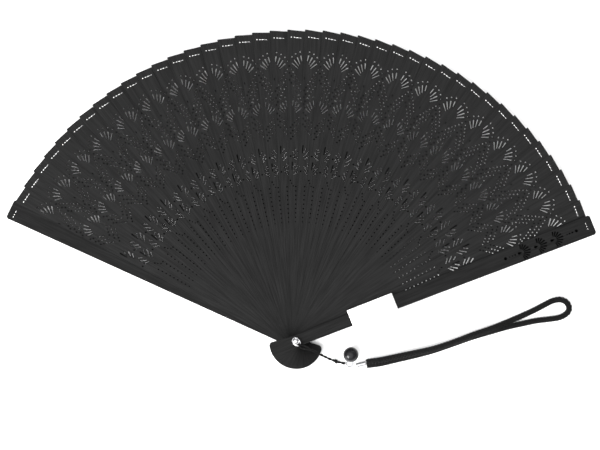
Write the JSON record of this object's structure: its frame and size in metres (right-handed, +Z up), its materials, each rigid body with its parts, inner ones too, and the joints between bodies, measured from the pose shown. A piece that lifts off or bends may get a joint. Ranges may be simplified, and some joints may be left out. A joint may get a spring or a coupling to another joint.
{
  "type": "hand fan",
  "caption": "Folding hand fan of thin dyed wooden sticks with two thicker guards, turning on one rivet, with a braided wrist strap and a bead.",
  "frame": {"origin": "on the pivot axis, in the flat back face of the rivet, which is the lowest face of the open fan", "axes": "+Z up along the rivet, from the back to the front of the fan; the open fan is symmetric about +Y, which points from the rivet to the middle of the rim; +X to the right guard's side"},
  "size_m": [0.359, 0.2088, 0.0206],
  "materials": {
    "dyed_guard": "satin black dye, fine lengthwise grain",
    "dyed_wood": "satin black dye, fine lengthwise grain",
    "chrome": "polished",
    "paper": "matt white",
    "string": "waxed twisted string",
    "braid": "round braid, slight sheen",
    "bead": "glossy opaque black"
  },
  "bodies": {
    "right_guard_body": {"right_guard": "dyed_guard", "rivet_pin": "chrome", "rivet_washer": "chrome", "rivet_bail": "chrome", "paper_label": "paper", "strap_string": "string", "jump_ring": "chrome", "bead": "bead", "bead_pin": "chrome", "end_cap": "chrome", "strap_cord": "braid"},
    "left_guard_body": {"left_guard": "dyed_guard"},
    "stick_01_body": {"stick_01": "dyed_wood"},
    "stick_02_body": {"stick_02": "dyed_wood"},
    "stick_03_body": {"stick_03": "dyed_wood"},
    "stick_04_body": {"stick_04": "dyed_wood"},
    "stick_05_body": {"stick_05": "dyed_wood"},
    "stick_06_body": {"stick_06": "dyed_wood"},
    "stick_07_body": {"stick_07": "dyed_wood"},
    "stick_08_body": {"stick_08": "dyed_wood"},
    "stick_09_body": {"stick_09": "dyed_wood"},
    "stick_10_body": {"stick_10": "dyed_wood"},
    "stick_11_body": {"stick_11": "dyed_wood"},
    "stick_12_body": {"stick_12": "dyed_wood"},
    "stick_13_body": {"stick_13": "dyed_wood"},
    "stick_14_body": {"stick_14": "dyed_wood"},
    "stick_15_body": {"stick_15": "dyed_wood"},
    "stick_16_body": {"stick_16": "dyed_wood"},
    "stick_17_body": {"stick_17": "dyed_wood"},
    "stick_18_body": {"stick_18": "dyed_wood"},
    "stick_19_body": {"stick_19": "dyed_wood"},
    "stick_20_body": {"stick_20": "dyed_wood"},
    "stick_21_body": {"stick_21": "dyed_wood"},
    "stick_22_body": {"stick_22": "dyed_wood"},
    "stick_23_body": {"stick_23": "dyed_wood"},
    "stick_24_body": {"stick_24": "dyed_wood"},
    "stick_25_body": {"stick_25": "dyed_wood"},
    "stick_26_body": {"stick_26": "dyed_wood"},
    "stick_27_body": {"stick_27": "dyed_wood"},
    "stick_28_body": {"stick_28": "dyed_wood"},
    "stick_29_body": {"stick_29": "dyed_wood"},
    "stick_30_body": {"stick_30": "dyed_wood"},
    "stick_31_body": {"stick_31": "dyed_wood"},
    "stick_32_body": {"stick_32": "dyed_wood"},
    "stick_33_body": {"stick_33": "dyed_wood"},
    "stick_34_body": {"stick_34": "dyed_wood"},
    "stick_35_body": {"stick_35": "dyed_wood"},
    "stick_36_body": {"stick_36": "dyed_wood"},
    "stick_37_body": {"stick_37": "dyed_wood"},
    "stick_38_body": {"stick_38": "dyed_wood"},
    "stick_39_body": {"stick_39": "dyed_wood"},
    "stick_40_body": {"stick_40": "dyed_wood"}
  },
  "joints": [
    {"name": "fan_fold", "type": "hinge", "parent": "right_guard_body", "child": "left_guard_body", "pos_m": [0, 0, 0], "axis": [0, 0, 1], "range_deg": [-133.25, 0]},
    {"name": "stick_01_fold", "type": "hinge", "parent": "right_guard_body", "child": "stick_01_body", "pos_m": [0, 0, 0], "axis": [0, 0, 1], "range_deg": [-130, 0]},
    {"name": "stick_02_fold", "type": "hinge", "parent": "right_guard_body", "child": "stick_02_body", "pos_m": [0, 0, 0], "axis": [0, 0, 1], "range_deg": [-126.75, 0]},
    {"name": "stick_03_fold", "type": "hinge", "parent": "right_guard_body", "child": "stick_03_body", "pos_m": [0, 0, 0], "axis": [0, 0, 1], "range_deg": [-123.5, 0]},
    {"name": "stick_04_fold", "type": "hinge", "parent": "right_guard_body", "child": "stick_04_body", "pos_m": [0, 0, 0], "axis": [0, 0, 1], "range_deg": [-120.25, 0]},
    {"name": "stick_05_fold", "type": "hinge", "parent": "right_guard_body", "child": "stick_05_body", "pos_m": [0, 0, 0], "axis": [0, 0, 1], "range_deg": [-117, 0]},
    {"name": "stick_06_fold", "type": "hinge", "parent": "right_guard_body", "child": "stick_06_body", "pos_m": [0, 0, 0], "axis": [0, 0, 1], "range_deg": [-113.75, 0]},
    {"name": "stick_07_fold", "type": "hinge", "parent": "right_guard_body", "child": "stick_07_body", "pos_m": [0, 0, 0], "axis": [0, 0, 1], "range_deg": [-110.5, 0]},
    {"name": "stick_08_fold", "type": "hinge", "parent": "right_guard_body", "child": "stick_08_body", "pos_m": [0, 0, 0], "axis": [0, 0, 1], "range_deg": [-107.25, 0]},
    {"name": "stick_09_fold", "type": "hinge", "parent": "right_guard_body", "child": "stick_09_body", "pos_m": [0, 0, 0], "axis": [0, 0, 1], "range_deg": [-104, 0]},
    {"name": "stick_10_fold", "type": "hinge", "parent": "right_guard_body", "child": "stick_10_body", "pos_m": [0, 0, 0], "axis": [0, 0, 1], "range_deg": [-100.75, 0]},
    {"name": "stick_11_fold", "type": "hinge", "parent": "right_guard_body", "child": "stick_11_body", "pos_m": [0, 0, 0], "axis": [0, 0, 1], "range_deg": [-97.5, 0]},
    {"name": "stick_12_fold", "type": "hinge", "parent": "right_guard_body", "child": "stick_12_body", "pos_m": [0, 0, 0], "axis": [0, 0, 1], "range_deg": [-94.25, 0]},
    {"name": "stick_13_fold", "type": "hinge", "parent": "right_guard_body", "child": "stick_13_body", "pos_m": [0, 0, 0], "axis": [0, 0, 1], "range_deg": [-91, 0]},
    {"name": "stick_14_fold", "type": "hinge", "parent": "right_guard_body", "child": "stick_14_body", "pos_m": [0, 0, 0], "axis": [0, 0, 1], "range_deg": [-87.75, 0]},
    {"name": "stick_15_fold", "type": "hinge", "parent": "right_guard_body", "child": "stick_15_body", "pos_m": [0, 0, 0], "axis": [0, 0, 1], "range_deg": [-84.5, 0]},
    {"name": "stick_16_fold", "type": "hinge", "parent": "right_guard_body", "child": "stick_16_body", "pos_m": [0, 0, 0], "axis": [0, 0, 1], "range_deg": [-81.25, 0]},
    {"name": "stick_17_fold", "type": "hinge", "parent": "right_guard_body", "child": "stick_17_body", "pos_m": [0, 0, 0], "axis": [0, 0, 1], "range_deg": [-78, 0]},
    {"name": "stick_18_fold", "type": "hinge", "parent": "right_guard_body", "child": "stick_18_body", "pos_m": [0, 0, 0], "axis": [0, 0, 1], "range_deg": [-74.75, 0]},
    {"name": "stick_19_fold", "type": "hinge", "parent": "right_guard_body", "child": "stick_19_body", "pos_m": [0, 0, 0], "axis": [0, 0, 1], "range_deg": [-71.5, 0]},
    {"name": "stick_20_fold", "type": "hinge", "parent": "right_guard_body", "child": "stick_20_body", "pos_m": [0, 0, 0], "axis": [0, 0, 1], "range_deg": [-68.25, 0]},
    {"name": "stick_21_fold", "type": "hinge", "parent": "right_guard_body", "child": "stick_21_body", "pos_m": [0, 0, 0], "axis": [0, 0, 1], "range_deg": [-65, 0]},
    {"name": "stick_22_fold", "type": "hinge", "parent": "right_guard_body", "child": "stick_22_body", "pos_m": [0, 0, 0], "axis": [0, 0, 1], "range_deg": [-61.75, 0]},
    {"name": "stick_23_fold", "type": "hinge", "parent": "right_guard_body", "child": "stick_23_body", "pos_m": [0, 0, 0], "axis": [0, 0, 1], "range_deg": [-58.5, 0]},
    {"name": "stick_24_fold", "type": "hinge", "parent": "right_guard_body", "child": "stick_24_body", "pos_m": [0, 0, 0], "axis": [0, 0, 1], "range_deg": [-55.25, 0]},
    {"name": "stick_25_fold", "type": "hinge", "parent": "right_guard_body", "child": "stick_25_body", "pos_m": [0, 0, 0], "axis": [0, 0, 1], "range_deg": [-52, 0]},
    {"name": "stick_26_fold", "type": "hinge", "parent": "right_guard_body", "child": "stick_26_body", "pos_m": [0, 0, 0], "axis": [0, 0, 1], "range_deg": [-48.75, 0]},
    {"name": "stick_27_fold", "type": "hinge", "parent": "right_guard_body", "child": "stick_27_body", "pos_m": [0, 0, 0], "axis": [0, 0, 1], "range_deg": [-45.5, 0]},
    {"name": "stick_28_fold", "type": "hinge", "parent": "right_guard_body", "child": "stick_28_body", "pos_m": [0, 0, 0], "axis": [0, 0, 1], "range_deg": [-42.25, 0]},
    {"name": "stick_29_fold", "type": "hinge", "parent": "right_guard_body", "child": "stick_29_body", "pos_m": [0, 0, 0], "axis": [0, 0, 1], "range_deg": [-39, 0]},
    {"name": "stick_30_fold", "type": "hinge", "parent": "right_guard_body", "child": "stick_30_body", "pos_m": [0, 0, 0], "axis": [0, 0, 1], "range_deg": [-35.75, 0]},
    {"name": "stick_31_fold", "type": "hinge", "parent": "right_guard_body", "child": "stick_31_body", "pos_m": [0, 0, 0], "axis": [0, 0, 1], "range_deg": [-32.5, 0]},
    {"name": "stick_32_fold", "type": "hinge", "parent": "right_guard_body", "child": "stick_32_body", "pos_m": [0, 0, 0], "axis": [0, 0, 1], "range_deg": [-29.25, 0]},
    {"name": "stick_33_fold", "type": "hinge", "parent": "right_guard_body", "child": "stick_33_body", "pos_m": [0, 0, 0], "axis": [0, 0, 1], "range_deg": [-26, 0]},
    {"name": "stick_34_fold", "type": "hinge", "parent": "right_guard_body", "child": "stick_34_body", "pos_m": [0, 0, 0], "axis": [0, 0, 1], "range_deg": [-22.75, 0]},
    {"name": "stick_35_fold", "type": "hinge", "parent": "right_guard_body", "child": "stick_35_body", "pos_m": [0, 0, 0], "axis": [0, 0, 1], "range_deg": [-19.5, 0]},
    {"name": "stick_36_fold", "type": "hinge", "parent": "right_guard_body", "child": "stick_36_body", "pos_m": [0, 0, 0], "axis": [0, 0, 1], "range_deg": [-16.25, 0]},
    {"name": "stick_37_fold", "type": "hinge", "parent": "right_guard_body", "child": "stick_37_body", "pos_m": [0, 0, 0], "axis": [0, 0, 1], "range_deg": [-13, 0]},
    {"name": "stick_38_fold", "type": "hinge", "parent": "right_guard_body", "child": "stick_38_body", "pos_m": [0, 0, 0], "axis": [0, 0, 1], "range_deg": [-9.75, 0]},
    {"name": "stick_39_fold", "type": "hinge", "parent": "right_guard_body", "child": "stick_39_body", "pos_m": [0, 0, 0], "axis": [0, 0, 1], "range_deg": [-6.5, 0]},
    {"name": "stick_40_fold", "type": "hinge", "parent": "right_guard_body", "child": "stick_40_body", "pos_m": [0, 0, 0], "axis": [0, 0, 1], "range_deg": [-3.25, 0]}
  ],
  "couplings": [
    {"joint": "stick_01_fold", "follows": "fan_fold", "ratio": 0.97561},
    {"joint": "stick_02_fold", "follows": "fan_fold", "ratio": 0.95122},
    {"joint": "stick_03_fold", "follows": "fan_fold", "ratio": 0.92683},
    {"joint": "stick_04_fold", "follows": "fan_fold", "ratio": 0.90244},
    {"joint": "stick_05_fold", "follows": "fan_fold", "ratio": 0.87805},
    {"joint": "stick_06_fold", "follows": "fan_fold", "ratio": 0.85366},
    {"joint": "stick_07_fold", "follows": "fan_fold", "ratio": 0.82927},
    {"joint": "stick_08_fold", "follows": "fan_fold", "ratio": 0.80488},
    {"joint": "stick_09_fold", "follows": "fan_fold", "ratio": 0.78049},
    {"joint": "stick_10_fold", "follows": "fan_fold", "ratio": 0.7561},
    {"joint": "stick_11_fold", "follows": "fan_fold", "ratio": 0.73171},
    {"joint": "stick_12_fold", "follows": "fan_fold", "ratio": 0.70732},
    {"joint": "stick_13_fold", "follows": "fan_fold", "ratio": 0.68293},
    {"joint": "stick_14_fold", "follows": "fan_fold", "ratio": 0.65854},
    {"joint": "stick_15_fold", "follows": "fan_fold", "ratio": 0.63415},
    {"joint": "stick_16_fold", "follows": "fan_fold", "ratio": 0.60976},
    {"joint": "stick_17_fold", "follows": "fan_fold", "ratio": 0.58537},
    {"joint": "stick_18_fold", "follows": "fan_fold", "ratio": 0.56098},
    {"joint": "stick_19_fold", "follows": "fan_fold", "ratio": 0.53658},
    {"joint": "stick_20_fold", "follows": "fan_fold", "ratio": 0.51219},
    {"joint": "stick_21_fold", "follows": "fan_fold", "ratio": 0.4878},
    {"joint": "stick_22_fold", "follows": "fan_fold", "ratio": 0.46341},
    {"joint": "stick_23_fold", "follows": "fan_fold", "ratio": 0.43902},
    {"joint": "stick_24_fold", "follows": "fan_fold", "ratio": 0.41463},
    {"joint": "stick_25_fold", "follows": "fan_fold", "ratio": 0.39024},
    {"joint": "stick_26_fold", "follows": "fan_fold", "ratio": 0.36585},
    {"joint": "stick_27_fold", "follows": "fan_fold", "ratio": 0.34146},
    {"joint": "stick_28_fold", "follows": "fan_fold", "ratio": 0.31707},
    {"joint": "stick_29_fold", "follows": "fan_fold", "ratio": 0.29268},
    {"joint": "stick_30_fold", "follows": "fan_fold", "ratio": 0.26829},
    {"joint": "stick_31_fold", "follows": "fan_fold", "ratio": 0.2439},
    {"joint": "stick_32_fold", "follows": "fan_fold", "ratio": 0.21951},
    {"joint": "stick_33_fold", "follows": "fan_fold", "ratio": 0.19512},
    {"joint": "stick_34_fold", "follows": "fan_fold", "ratio": 0.17073},
    {"joint": "stick_35_fold", "follows": "fan_fold", "ratio": 0.14634},
    {"joint": "stick_36_fold", "follows": "fan_fold", "ratio": 0.12195},
    {"joint": "stick_37_fold", "follows": "fan_fold", "ratio": 0.09756},
    {"joint": "stick_38_fold", "follows": "fan_fold", "ratio": 0.07317},
    {"joint": "stick_39_fold", "follows": "fan_fold", "ratio": 0.04878},
    {"joint": "stick_40_fold", "follows": "fan_fold", "ratio": 0.02439}
  ]
}
